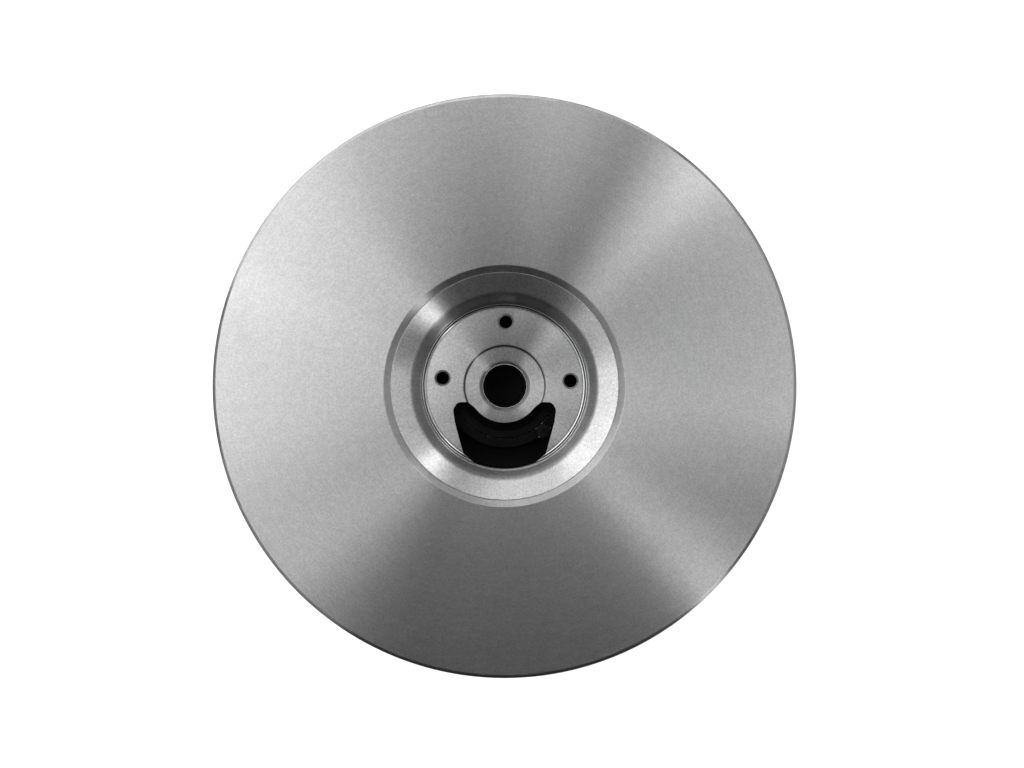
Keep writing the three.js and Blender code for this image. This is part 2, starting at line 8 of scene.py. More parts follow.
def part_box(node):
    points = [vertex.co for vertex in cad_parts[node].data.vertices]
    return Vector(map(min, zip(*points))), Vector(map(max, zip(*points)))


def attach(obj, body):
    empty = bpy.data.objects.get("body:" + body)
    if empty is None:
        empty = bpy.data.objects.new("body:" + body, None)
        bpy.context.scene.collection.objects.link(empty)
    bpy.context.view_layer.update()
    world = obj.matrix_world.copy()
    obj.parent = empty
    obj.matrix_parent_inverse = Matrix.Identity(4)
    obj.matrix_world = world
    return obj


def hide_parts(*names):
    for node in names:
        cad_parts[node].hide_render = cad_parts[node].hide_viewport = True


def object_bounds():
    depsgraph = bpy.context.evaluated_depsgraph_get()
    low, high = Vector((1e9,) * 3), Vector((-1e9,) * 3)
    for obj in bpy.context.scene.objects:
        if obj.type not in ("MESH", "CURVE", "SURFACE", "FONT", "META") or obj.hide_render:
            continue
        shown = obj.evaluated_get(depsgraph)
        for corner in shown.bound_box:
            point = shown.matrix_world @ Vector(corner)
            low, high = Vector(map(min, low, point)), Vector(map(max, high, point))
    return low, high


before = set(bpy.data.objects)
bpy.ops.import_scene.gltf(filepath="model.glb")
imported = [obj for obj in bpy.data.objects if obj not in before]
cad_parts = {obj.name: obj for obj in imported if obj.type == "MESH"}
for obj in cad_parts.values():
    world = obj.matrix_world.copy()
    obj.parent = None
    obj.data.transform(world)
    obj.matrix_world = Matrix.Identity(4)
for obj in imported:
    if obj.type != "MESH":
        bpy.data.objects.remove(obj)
cad_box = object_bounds()

# ---------------------------------------------------------------------------------------------
# The friction disc: one flat ring of steel, faced and bored in a lathe, with a chamfer on its
# rim and a wider one at the lip round the dish. The tool leaves fine rings round the axle.

MM = 0.001


def corner(section, i, steps):
    """The points of a rounded corner of a section, whose corners are (radius, height, round)."""
    here = Vector(section[i][:2])
    before = Vector(section[i - 1][:2]) - here
    after = Vector(section[(i + 1) % len(section)][:2]) - here
    size = section[i][2] if len(section[i]) > 2 else 0.0
    if size == 0.0:
        return [here]
    half = before.angle(after) / 2
    reach = min(size / math.tan(half), 0.45 * before.length, 0.45 * after.length)
    size = reach * math.tan(half)
    first = here + before.normalized() * reach
    last = here + after.normalized() * reach
    centre = here + (before.normalized() + after.normalized()).normalized() * (size / math.sin(half))
    points = []
    for step in range(steps + 1):
        spoke = (first - centre).lerp(last - centre, step / steps)
        points.append(centre + spoke.normalized() * size)
    return points


def feed(tree, socket, value):
    """Gives a node's input a plain value, or links another node's output to it."""
    if isinstance(value, bpy.types.NodeSocket):
        tree.links.new(value, socket)
    else:
        socket.default_value = value


def node_math(tree, operation, first, second=0.0):
    made = tree.nodes.new("ShaderNodeMath")
    made.operation = operation
    feed(tree, made.inputs[0], first)
    feed(tree, made.inputs[1], second)
    return made.outputs[0]


def combined(tree, x, y, z):
    made = tree.nodes.new("ShaderNodeCombineXYZ")
    for socket, value in zip(made.inputs, (x, y, z)):
        feed(tree, socket, value)
    return made.outputs[0]


def turning_tree():
    """Geometry nodes that turn a section, given as loose points, once round the Z axis."""
    tree = bpy.data.node_groups.new("turned_on_lathe", "GeometryNodeTree")
    tree.interface.new_socket("Section", in_out="INPUT", socket_type="NodeSocketGeometry")
    tree.interface.new_socket("Flats Round", in_out="INPUT", socket_type="NodeSocketInt")
    tree.interface.new_socket("Finish", in_out="INPUT", socket_type="NodeSocketMaterial")
    tree.interface.new_socket("Turned", in_out="OUTPUT", socket_type="NodeSocketGeometry")
    nodes, links = tree.nodes, tree.links
    given = nodes.new("NodeGroupInput").outputs
    size = nodes.new("GeometryNodeAttributeDomainSize")
    links.new(given["Section"], size.inputs[0])
    count = size.outputs["Point Count"]
    rows = node_math(tree, "ADD", count, 1.0)
    grid = nodes.new("GeometryNodeMeshGrid")
    links.new(node_math(tree, "ADD", given["Flats Round"], 1.0), grid.inputs["Vertices X"])
    links.new(rows, grid.inputs["Vertices Y"])
    index = nodes.new("GeometryNodeInputIndex").outputs[0]
    row = node_math(tree, "MODULO", index, rows)
    column = node_math(tree, "FLOOR", node_math(tree, "DIVIDE", index, rows))
    part = node_math(tree, "DIVIDE", column, given["Flats Round"])
    angle = node_math(tree, "MULTIPLY", part, math.tau)
    sample = nodes.new("GeometryNodeSampleIndex")
    sample.data_type = "FLOAT_VECTOR"
    links.new(given["Section"], sample.inputs[0])
    links.new(nodes.new("GeometryNodeInputPosition").outputs[0], sample.inputs["Value"])
    links.new(node_math(tree, "MODULO", row, count), sample.inputs["Index"])
    split = nodes.new("ShaderNodeSeparateXYZ")
    links.new(sample.outputs["Value"], split.inputs[0])
    radius = split.outputs[0]
    x = node_math(tree, "MULTIPLY", radius, node_math(tree, "COSINE", angle))
    y = node_math(tree, "MULTIPLY", radius, node_math(tree, "SINE", angle))
    shaped = nodes.new("GeometryNodeSetPosition")
    links.new(grid.outputs["Mesh"], shaped.inputs["Geometry"])
    links.new(combined(tree, x, y, split.outputs[2]), shaped.inputs["Position"])
    merged = nodes.new("GeometryNodeMergeByDistance")
    merged.inputs["Distance"].default_value = 1e-6
    links.new(shaped.outputs[0], merged.inputs["Geometry"])
    real = nodes.new("GeometryNodeRealizeInstances")
    links.new(merged.outputs[0], real.inputs[0])
    finish = nodes.new("GeometryNodeSetMaterial")
    links.new(real.outputs[0], finish.inputs["Geometry"])
    links.new(given["Finish"], finish.inputs["Material"])
    result = nodes.new("NodeGroupOutput")
    links.new(finish.outputs[0], result.inputs[0])
    return tree


TURNING = turning_tree()
ROUND_STEPS = 4


def baked(work, name):
    """A plain mesh object of what an object's modifiers make, its faces pointing outwards."""
    depsgraph = bpy.context.evaluated_depsgraph_get()
    mesh = bpy.data.meshes.new_from_object(work.evaluated_get(depsgraph))
    bpy.data.objects.remove(work)
    shell = bmesh.new()
    shell.from_mesh(mesh)
    bmesh.ops.remove_doubles(shell, verts=shell.verts, dist=1e-7)
    loose = [edge for edge in shell.edges if not edge.link_faces]
    bmesh.ops.delete(shell, geom=loose, context="EDGES")
    bmesh.ops.recalc_face_normals(shell, faces=shell.faces)
    if shell.calc_volume(signed=True) < 0:
        bmesh.ops.reverse_faces(shell, faces=shell.faces)
    shell.to_mesh(mesh)
    shell.free()
    mesh.name = name
    piece = bpy.data.objects.new(name, mesh)
    bpy.context.collection.objects.link(piece)
    return piece


def with_nodes(mesh, tree, settings):
    """A work object that carries a geometry nodes modifier, its inputs set before it is evaluated."""
    work = bpy.data.objects.new("work", mesh)
    modifier = work.modifiers.new("nodes", "NODES")
    modifier.node_group = tree
    for item in tree.interface.items_tree:
        if item.in_out == "INPUT" and item.name in settings:
            modifier[item.identifier] = settings[item.name]
    bpy.context.collection.objects.link(work)
    return work


def turned(name, section, finish, flats=192, steps=ROUND_STEPS):
    """A piece turned round the Z axis from a closed section of (radius, height, round) in mm."""
    points = [p for i in range(len(section)) for p in corner(section, i, steps)]
    mesh = bpy.data.meshes.new("section")
    mesh.from_pydata([(p.x * MM, 0.0, p.y * MM) for p in points], [], [])
    work = with_nodes(mesh, TURNING, {"Flats Round": flats, "Finish": finish})
    return baked(work, name)


def smooth(piece, sharp_degrees=32.0):
    """Shades a piece smooth, except across edges that turn more than this."""
    piece.data.shade_smooth()
    piece.data.set_sharp_from_angle(angle=math.radians(sharp_degrees))


def fit(piece, body, slot, *nodes):
    """Finishes a piece: its shading, the body it rides on and what it replaces. The slot is not used."""
    smooth(piece)
    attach(piece, body)
    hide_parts(*nodes)


def shader_noise(tree, vector, scale, detail, roughness):
    made = tree.nodes.new("ShaderNodeTexNoise")
    made.inputs["Detail"].default_value = detail
    made.inputs["Roughness"].default_value = roughness
    feed(tree, made.inputs["Vector"], vector)
    feed(tree, made.inputs["Scale"], scale)
    return made.outputs["Fac"]


def shader_map(tree, value, low, high, to_low, to_high):
    made = tree.nodes.new("ShaderNodeMapRange")
    tree.links.new(value, made.inputs["Value"])
    for name, number in (("From Min", low), ("From Max", high), ("To Min", to_low), ("To Max", to_high)):
        feed(tree, made.inputs[name], number)
    return made.outputs[0]


def shader_group(name, inputs, outputs):
    tree = bpy.data.node_groups.new(name, "ShaderNodeTree")
    for label, value in inputs.items():
        tree.interface.new_socket(label, in_out="INPUT", socket_type="NodeSocketFloat").default_value = value
    for label, kind in outputs.items():
        tree.interface.new_socket(label, in_out="OUTPUT", socket_type=kind)
    given = tree.nodes.new("NodeGroupInput").outputs
    result = tree.nodes.new("NodeGroupOutput").inputs
    return tree, given, result


def axle_radius(tree):
    """How far a point lies from the axle, in metres, and its place as x, y and z."""
    place = tree.nodes.new("ShaderNodeTexCoord").outputs["Object"]
    split = tree.nodes.new("ShaderNodeSeparateXYZ")
    tree.links.new(place, split.inputs[0])
    x, y, z = split.outputs
    x_squared = node_math(tree, "MULTIPLY", x, x)
    y_squared = node_math(tree, "MULTIPLY", y, y)
    return node_math(tree, "SQRT", node_math(tree, "ADD", x_squared, y_squared)), x, y, z


def turning_marks():
    """The lathe's marks: fine rings round the axle, broken up a little, with grain and a soft mottle."""
    tree, given, result = shader_group(
        "turning_marks",
        {"Rings": 1500.0, "Along": 9.0, "Mottle": 420.0, "Mottle Along": 30.0, "Grain": 1500.0, "Depth": 0.1},
        {"Height": "NodeSocketFloat", "Tone": "NodeSocketFloat", "Rough": "NodeSocketFloat"},
    )
    radius, x, y, z = axle_radius(tree)
    safe = node_math(tree, "MAXIMUM", radius, 1e-5)
    east = node_math(tree, "DIVIDE", x, safe)
    north = node_math(tree, "DIVIDE", y, safe)
    across = node_math(tree, "SUBTRACT", radius, node_math(tree, "MULTIPLY", z, 0.8))

    def round_the_axle(rings, along, detail, roughness):
        vector = combined(
            tree,
            node_math(tree, "MULTIPLY", across, rings),
            node_math(tree, "MULTIPLY", east, along),
            node_math(tree, "MULTIPLY", north, along),
        )
        return shader_noise(tree, vector, 1.0, detail, roughness)

    rings = round_the_axle(given["Rings"], given["Along"], 3.0, 0.65)
    mottle = round_the_axle(given["Mottle"], given["Mottle Along"], 3.0, 0.6)
    grain = shader_noise(tree, combined(tree, x, y, z), given["Grain"], 1.0, 0.5)
    fine = node_math(tree, "MULTIPLY", rings, 0.6)
    mix = node_math(tree, "ADD", fine, node_math(tree, "MULTIPLY", mottle, 0.4))
    tree.links.new(mix, result["Height"])
    lighter = node_math(tree, "ADD", 1.0, given["Depth"])
    darker = node_math(tree, "SUBTRACT", 1.0, given["Depth"])
    grain_tone = shader_map(tree, grain, 0.3, 0.7, darker, lighter)
    ring_tone = shader_map(tree, rings, 0.3, 0.7, 0.96, 1.04)
    mottle_tone = shader_map(tree, mottle, 0.3, 0.7, 0.95, 1.05)
    both = node_math(tree, "MULTIPLY", grain_tone, ring_tone)
    tree.links.new(node_math(tree, "MULTIPLY", both, mottle_tone), result["Tone"])
    tree.links.new(shader_map(tree, rings, 0.3, 0.7, -0.02, 0.02), result["Rough"])
    return tree


TURNING_MARKS = turning_marks()


def painted_corner_shade():
    """Painted shade in a corner that runs round the axle: dark at the Radius, fading out over the Width."""
    inputs = {"Radius": 0.033, "Width": 0.0015, "Darkest": 0.5}
    tree, given, result = shader_group("painted_corner_shade", inputs, {"Tone": "NodeSocketFloat"})
    radius = axle_radius(tree)[0]
    away = node_math(tree, "ABSOLUTE", node_math(tree, "SUBTRACT", radius, given["Radius"]))
    near = node_math(tree, "DIVIDE", away, given["Width"])
    fade = tree.nodes.new("ShaderNodeMapRange")
    fade.interpolation_type = "SMOOTHSTEP"
    tree.links.new(near, fade.inputs["Value"])
    fade.inputs["From Min"].default_value = 0.5
    fade.inputs["From Max"].default_value = 1.0
    tree.links.new(given["Darkest"], fade.inputs["To Min"])
    tree.links.new(fade.outputs[0], result["Tone"])
    return tree


# A ring of painted shade round the axle, darkest at its radius, that turned steels multiply into their
# colour.
PAINTED_CORNER_SHADE = painted_corner_shade()


def turned_metal(name, grey, roughness, anisotropy, bump, painted_shade=(), **marks):
    """Bare turned metal: rough across the tool's rings and smooth along them, with painted shade in corners.
    """
    material = bpy.data.materials.new(name)
    material.use_nodes = True
    tree = material.node_tree
    shader = tree.nodes["Principled BSDF"]
    shader.inputs["Metallic"].default_value = 1.0
    shader.inputs["Anisotropic"].default_value = anisotropy
    group = tree.nodes.new("ShaderNodeGroup")
    group.node_tree = TURNING_MARKS
    for label, value in marks.items():
        group.inputs[label.replace("_", " ").title()].default_value = value
    shade = group.outputs["Tone"]
    # Each ring darkens the colour round the axle as painted shade for a corner or groove.
    for radius, width, darkest in painted_shade:
        shade_ring = tree.nodes.new("ShaderNodeGroup")
        shade_ring.node_tree = PAINTED_CORNER_SHADE
        shade_ring.inputs["Radius"].default_value = radius * MM
        shade_ring.inputs["Width"].default_value = width * MM
        shade_ring.inputs["Darkest"].default_value = darkest
        shade = node_math(tree, "MULTIPLY", shade, shade_ring.outputs[0])
    tone = tree.nodes.new("ShaderNodeVectorMath")
    tone.operation = "SCALE"
    tone.inputs[0].default_value = grey
    tree.links.new(shade, tone.inputs["Scale"])
    tree.links.new(tone.outputs[0], shader.inputs["Base Color"])
    rough = node_math(tree, "ADD", group.outputs["Rough"], roughness)
    tree.links.new(rough, shader.inputs["Roughness"])
    relief = tree.nodes.new("ShaderNodeBump")
    relief.inputs["Strength"].default_value = 1.0
    relief.inputs["Distance"].default_value = bump
    tree.links.new(group.outputs["Height"], relief.inputs["Height"])
    tree.links.new(relief.outputs[0], shader.inputs["Normal"])
    place = tree.nodes.new("ShaderNodeTexCoord").outputs["Object"]
    outward = tree.nodes.new("ShaderNodeVectorMath")
    outward.operation = "MULTIPLY"
    outward.inputs[1].default_value = (1.0, 1.0, 0.0)
    tree.links.new(place, outward.inputs[0])
    spoke = tree.nodes.new("ShaderNodeVectorMath")
    spoke.operation = "NORMALIZE"
    tree.links.new(outward.outputs[0], spoke.inputs[0])
    turns_along = tree.nodes.new("ShaderNodeVectorTransform")
    turns_along.vector_type = "VECTOR"
    turns_along.convert_from = "OBJECT"
    turns_along.convert_to = "WORLD"
    tree.links.new(spoke.outputs[0], turns_along.inputs[0])
    tree.links.new(turns_along.outputs[0], shader.inputs["Tangent"])
    return material


# The disc's colour is darkened at the lip round the dish, as painted shade.
FACE_STEEL = turned_metal(
    "turned_steel_face", (0.70, 0.70, 0.70), 0.33, 0.95, 0.9e-6,
    painted_shade=((44.3, 1.7, 0.7),),
)
# The carrier's colour is darkened in the steep foot of the dish, as painted shade.
DISH_STEEL = turned_metal(
    "turned_steel_dish", (0.72, 0.72, 0.72), 0.31, 0.94, 1.4e-6,
    painted_shade=((33.3, 2.9, 0.45),), rings=1600.0, mottle_along=20.0, depth=0.15,
)

low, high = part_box("friction_disc")
DISC_RADIUS = high[0] / MM
FACE = high[2] / MM
DISC_BACK = low[2] / MM
DISC_BORE = 43.1
RIM_CHAMFER = 1.2
LIP_RADIUS = 45.5
LIP_DEPTH = 1.9
LAND_RADIUS = 57.0
LAND_STEP = 0.4

friction_disc = turned("friction_disc_fine", [
    (DISC_BORE, DISC_BACK + LAND_STEP, 0.1),
    (LAND_RADIUS, DISC_BACK + LAND_STEP, 0.1),
    (LAND_RADIUS, DISC_BACK, 0.1),
    (DISC_RADIUS - RIM_CHAMFER, DISC_BACK, 0.3),
    (DISC_RADIUS, DISC_BACK + RIM_CHAMFER, 0.3),
    (DISC_RADIUS, FACE - RIM_CHAMFER, 0.3),
    (DISC_RADIUS - RIM_CHAMFER, FACE, 0.25),
    (70.0, FACE),
    (LIP_RADIUS, FACE, 0.6),
    (DISC_BORE, FACE - LIP_DEPTH, 0.12),
], FACE_STEEL, flats=256)
fit(friction_disc, "rotor", "turned_steel", "friction_disc")


# ---------------------------------------------------------------------------------------------
# The disc carrier: turned from the same steel. It drops from the disc's lip in a cone and a steep
# foot to the centre plate, and behind it has a flange for the disc and a skirt for the housing.

SKIRT_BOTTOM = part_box("disc_carrier")[0][2] / MM
PLATE_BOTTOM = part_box("centre_plate")[0][2] / MM
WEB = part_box("centre_plate")[1][2] / MM
SKIRT_RADIUS = 41.0
FLANGE_RADIUS = 56.0
FLANGE_BACK = DISC_BACK - 3.5
LEDGE_RADIUS = 29.0
SEAM = 0.1
CONE_TOP_RADIUS = 42.7
CONE_FOOT_RADIUS = 34.6
WALL_FOOT_RADIUS = 32.15
CARRIER_BORE = 31.5
CARRIER_MOUTH = 31.55
SNAP_GROOVE_RADIUS = 32.6
REBATE_DEPTH = 0.6
SNAP_TOP = WEB + 1.25

disc_carrier = turned("disc_carrier_fine", [
    (LEDGE_RADIUS, SKIRT_BOTTOM, 0.2),
    (SKIRT_RADIUS, SKIRT_BOTTOM, 0.4),
    (SKIRT_RADIUS, FLANGE_BACK, 1.2),
    (FLANGE_RADIUS, FLANGE_BACK, 0.5),
    (FLANGE_RADIUS, DISC_BACK + LAND_STEP, 0.1),
    (DISC_BORE - SEAM, DISC_BACK + LAND_STEP),
    (DISC_BORE - SEAM, FACE - LIP_DEPTH - SEAM, 0.15),
    (CONE_TOP_RADIUS, FACE - LIP_DEPTH - 2 * SEAM, 0.2),
    (CONE_FOOT_RADIUS, WEB + 5.05, 5.0),
    (WALL_FOOT_RADIUS, WEB + 1.65, 0.15),
    (CARRIER_MOUTH, WEB + 1.38, 0.05),
    (CARRIER_MOUTH, SNAP_TOP + 0.05),
    (SNAP_GROOVE_RADIUS, SNAP_TOP + 0.05),
    (SNAP_GROOVE_RADIUS, WEB - REBATE_DEPTH),
    (CARRIER_BORE, WEB - REBATE_DEPTH),
    (CARRIER_BORE, PLATE_BOTTOM),
    (LEDGE_RADIUS, PLATE_BOTTOM),
], DISH_STEEL, flats=256)


# ---------------------------------------------------------------------------------------------
# The centre plate: a turned steel web pressed into the carrier, bored for the axle sleeve, with a
# washer seat sunk round the bore. It has three tapped holes, and a window milled through the web.

def arc(radius, start, end, steps):
    """Points along an arc round the axle, in mm, with both its ends."""
    angles = [start + (end - start) * i / steps for i in range(steps + 1)]
    return [(radius * math.cos(angle), radius * math.sin(angle)) for angle in angles]


def rounded_path(corners, steps=8):
    """A closed outline in the plane, from (x, y, round) corners."""
    return [tuple(p) for i in range(len(corners)) for p in corner(corners, i, steps)]


WINDOW_INNER = 13.9
WINDOW_OUTER = 31.5


def window_outline():
    """Half the window, rounded, then its mirror: rim arc, slanted side, lobe and the seat's arc."""
    half = [
        (11.6, -29.29, 0.6),
        (15.75, -25.6, 1.0),
        (18.9, -13.8, 6.0),
        (19.6, -9.0, 2.6),
        (18.0, -6.1, 2.6),
        (13.9, -6.1, 1.6),
        (11.2, -8.24, 1.6),
    ]
    right_joint = math.atan2(half[0][1], half[0][0])
    seat_joint = math.atan2(half[-1][1], half[-1][0])
    rim = [(x, y, 0.0) for x, y in arc(WINDOW_OUTER, -math.pi - right_joint, right_joint, 40)[1:-1]]
    seat_side = [(x, y, 0.0) for x, y in arc(WINDOW_INNER, seat_joint, -math.pi - seat_joint, 48)[1:-1]]
    mirrored = [(-x, y, size) for x, y, size in reversed(half)]
    return rounded_path(rim + half + seat_side + mirrored)


def prism(outline, bottom, top):
    """A closed block with this outline, in mm, from one height to another."""
    mesh = bpy.data.meshes.new("cutter")
    count = len(outline)
    low_ring = [(x * MM, y * MM, bottom * MM) for x, y in outline]
    high_ring = [(x * MM, y * MM, top * MM) for x, y in outline]
    sides = [(i, (i + 1) % count, count + (i + 1) % count, count + i) for i in range(count)]
    caps = [tuple(reversed(range(count))), tuple(range(count, 2 * count))]
    mesh.from_pydata(low_ring + high_ring, [], sides + caps)
    cutter = bpy.data.objects.new("cutter", mesh)
    bpy.context.collection.objects.link(cutter)
    return cutter


def cut(piece, cutters, operation="DIFFERENCE", own_finish=False):
    """The piece with each cutter taken away (or joined on). The cutters are used up."""
    for cutter in cutters:
        modifier = piece.modifiers.new("cut", "BOOLEAN")
        modifier.operation = operation
        modifier.solver = "EXACT"
        modifier.material_mode = "TRANSFER" if own_finish else "INDEX"
        modifier.object = cutter
    name = piece.name
    made = baked(piece, name)
    made.name = name
    for cutter in cutters:
        bpy.data.objects.remove(cutter)
    return made


def moved(piece, x, y, z=0.0):
    """The piece moved by this many mm, in its mesh."""
    piece.data.transform(Matrix.Translation((x * MM, y * MM, z * MM)))
    return piece


def on_circle(radius, degrees):
    return radius * math.cos(math.radians(degrees)), radius * math.sin(math.radians(degrees))


TAPPED_RADIUS = 2.42
COUNTERSINK_RADIUS = 3.1
TAPPED_HOLES = ((24.3, 88.9), (23.7, 172.7), (25.05, 4.4))
THREAD_PITCH = 0.8
THREAD_DEPTH = 0.35
PLATE_RADIUS = 31.4
PLATE_REBATE_RADIUS = 29.85
PLATE_BORE = 9.65
SEAT = WEB - 1.2


def tapped_hole(x, y):
    """A cutter for a tapped hole: ridges at the thread's pitch, and a countersink at the mouth."""
    bottom = PLATE_BOTTOM - 1.0
    section = [(0.0, bottom)]
    height = bottom
    while height < WEB - 1.1:
        section.append((TAPPED_RADIUS, height + 0.1))
        section.append((TAPPED_RADIUS + THREAD_DEPTH, height + THREAD_PITCH / 2))
        height += THREAD_PITCH
    section.append((TAPPED_RADIUS, height))
    section.append((COUNTERSINK_RADIUS + 1.0, height + 1.0 + COUNTERSINK_RADIUS - TAPPED_RADIUS))
    section.append((0.0, height + 1.0 + COUNTERSINK_RADIUS - TAPPED_RADIUS))
    shift = WEB - (height + COUNTERSINK_RADIUS - TAPPED_RADIUS)
    section = [(radius, level + shift) for radius, level in section]
    return moved(turned("cutter", section, HOLE_STEEL, flats=40), x, y)


# The window goes on through the carrier's ledge under the plate, so the carrier is finished here.
disc_carrier = cut(disc_carrier, [prism(window_outline(), SKIRT_BOTTOM - 1.0, PLATE_BOTTOM + 4.5)])
fit(disc_carrier, "rotor", "turned_steel", "disc_carrier")


def surface_marks():
    """Soft mottle and fine grain in the round, for plated, painted and moulded pieces."""
    tree, given, result = shader_group(
        "surface_marks",
        {"Mottle": 350.0, "Grain": 2500.0},
        {"Height": "NodeSocketFloat", "Tone": "NodeSocketFloat", "Rough": "NodeSocketFloat"},
    )
    place = tree.nodes.new("ShaderNodeTexCoord").outputs["Object"]
    mottle = shader_noise(tree, place, given["Mottle"], 4.0, 0.6)
    grain = shader_noise(tree, place, given["Grain"], 2.0, 0.5)
    half_grain = node_math(tree, "MULTIPLY", grain, 0.5)
    both = node_math(tree, "ADD", node_math(tree, "MULTIPLY", mottle, 0.5), half_grain)
    tree.links.new(both, result["Height"])
    tree.links.new(shader_map(tree, mottle, 0.3, 0.7, 0.8, 1.2), result["Tone"])
    tree.links.new(shader_map(tree, both, 0.35, 0.65, -0.06, 0.06), result["Rough"])
    return tree


SURFACE_MARKS = surface_marks()


def finished(name, colour, metallic, roughness, bump, gloss=0.5, **marks):
    """A plain finish with mottle and grain: plate, paint, rubber or plastic."""
    material = bpy.data.materials.new(name)
    material.use_nodes = True
    tree = material.node_tree
    shader = tree.nodes["Principled BSDF"]
    shader.inputs["Specular IOR Level"].default_value = gloss
    shader.inputs["Metallic"].default_value = metallic
    group = tree.nodes.new("ShaderNodeGroup")
    group.node_tree = SURFACE_MARKS
    for label, value in marks.items():
        group.inputs[label.title()].default_value = value
    tone = tree.nodes.new("ShaderNodeVectorMath")
    tone.operation = "SCALE"
    tone.inputs[0].default_value = colour
    tree.links.new(group.outputs["Tone"], tone.inputs["Scale"])
    tree.links.new(tone.outputs[0], shader.inputs["Base Color"])
    rough = node_math(tree, "ADD", group.outputs["Rough"], roughness)
    tree.links.new(rough, shader.inputs["Roughness"])
    relief = tree.nodes.new("ShaderNodeBump")
    relief.inputs["Distance"].default_value = bump
    tree.links.new(group.outputs["Height"], relief.inputs["Height"])
    tree.links.new(relief.outputs[0], shader.inputs["Normal"])
    return material


HOLE_STEEL = finished("tapped_hole_steel", (0.55, 0.55, 0.55), 1.0, 0.34, 1e-6)
# The plate's colour is darkened as painted shade in the groove round the washer seat and at its rim under the
# snap ring.
PLATE_STEEL = turned_metal(
    "turned_steel_plate", (0.60, 0.60, 0.60), 0.34, 0.93, 1.1e-6,
    painted_shade=((15.25, 0.4, 0.3), (29.7, 0.5, 0.7)), rings=1900.0, depth=0.15,
)

centre_plate = turned("centre_plate_fine", [
    (PLATE_BORE, PLATE_BOTTOM, 0.1),
    (PLATE_RADIUS, PLATE_BOTTOM, 0.1),
    (PLATE_RADIUS, WEB - REBATE_DEPTH),
    (PLATE_REBATE_RADIUS, WEB - REBATE_DEPTH),
    (PLATE_REBATE_RADIUS, WEB, 0.1),
    (15.8, WEB, 0.03),
    (15.45, WEB - 0.35, 0.03),
    (15.25, SEAT + 0.3, 0.1),
    (14.8, SEAT, 0.35),
    (PLATE_BORE, SEAT, 0.03),
], PLATE_STEEL, flats=256)
holes = [tapped_hole(*on_circle(*place)) for place in TAPPED_HOLES]
window = prism(window_outline(), PLATE_BOTTOM - 1.0, WEB + 1.0)
centre_plate = cut(centre_plate, [window])
centre_plate = cut(centre_plate, holes, own_finish=True)
fit(centre_plate, "rotor", "turned_steel", "centre_plate")


# ---------------------------------------------------------------------------------------------
# The snap ring: spring steel, sprung into the carrier's groove over the rim of the plate. Its inner
# edge is bevelled in fine steps, and its gap lies at the window.

# The snap ring's colour is darkened as painted shade in two fine lines on its stepped inner edge.
SPRING_STEEL = turned_metal(
    "snap_ring_steel", (0.90, 0.90, 0.90), 0.30, 0.93, 0.9e-6,
    painted_shade=((31.4, 0.36, 0.3), (30.58, 0.36, 0.15)), rings=2600.0,
)
SNAP_GAP_DEGREES = 46.0

snap_ring = turned("plate_snap_ring_fine", [
    (29.9, WEB - REBATE_DEPTH + 0.05),
    (32.3, WEB - REBATE_DEPTH + 0.05),
    (32.3, SNAP_TOP),
    (31.75, SNAP_TOP, 0.03),
    (31.6, WEB + 0.75),
    (31.3, WEB + 0.75),
    (31.15, WEB + 0.95, 0.03),
    (30.9, WEB + 0.9, 0.08),
    (30.75, WEB - 0.4),
    (30.4, WEB - 0.4),
    (30.35, WEB + 0.3, 0.06),
    (29.9, WEB + 0.05),
], SPRING_STEEL, flats=256)
half_gap = math.radians(SNAP_GAP_DEGREES / 2)
gap_reach = 60.0
gap_x = gap_reach * math.sin(half_gap)
gap_y = -gap_reach * math.cos(half_gap)
wedge = [(0.0, 0.0), (-gap_x, gap_y), (gap_x, gap_y)]
gap = prism(wedge, WEB - 2.0, WEB + 3.0)
snap_ring = cut(snap_ring, [gap, prism(window_outline(), WEB - 2.5, WEB + 2.5)])
fit(snap_ring, "rotor", "spring_steel", "plate_snap_ring")


# ---------------------------------------------------------------------------------------------
# The disc screws: eight low-headed zinc-plated steel screws with hexagon sockets. They come
# through the carrier's flange from behind and hold the disc on it.

